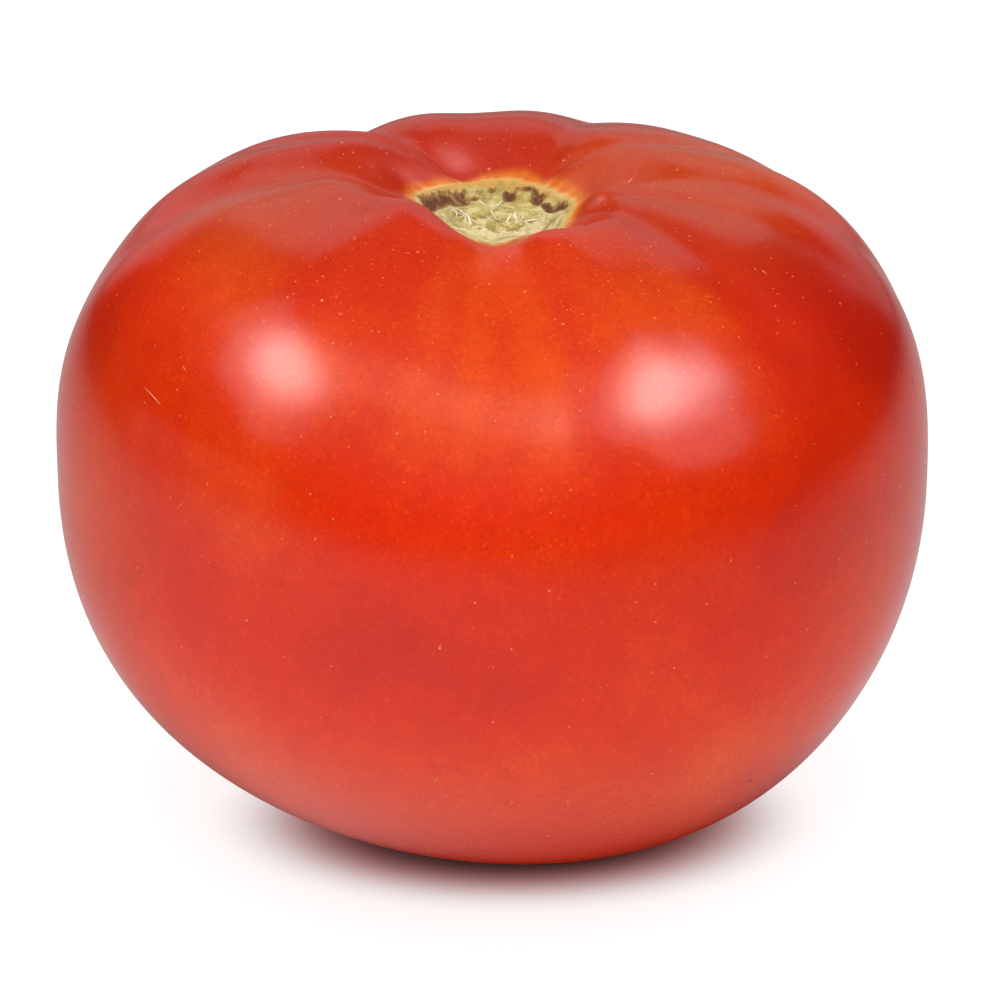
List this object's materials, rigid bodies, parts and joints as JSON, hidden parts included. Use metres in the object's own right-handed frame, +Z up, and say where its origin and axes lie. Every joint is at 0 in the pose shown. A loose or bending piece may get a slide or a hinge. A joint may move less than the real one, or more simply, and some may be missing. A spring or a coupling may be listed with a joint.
{
  "type": "tomato",
  "caption": "Ripe round red tomato with shallow shoulder lobes and a corky stem scar in a shallow bowl, resting on its blossom end.",
  "frame": {"origin": "on the surface it rests on, under the middle of the bounding box", "axes": "+Z up through the stem scar; the side that the picture shows faces -Y, and +X is to its right"},
  "size_m": [0.084, 0.082, 0.0669],
  "materials": {
    "skin": "gloss",
    "stem_scar": "matte"
  },
  "bodies": {
    "root": {"tomato": "skin"}
  },
  "joints": []
}
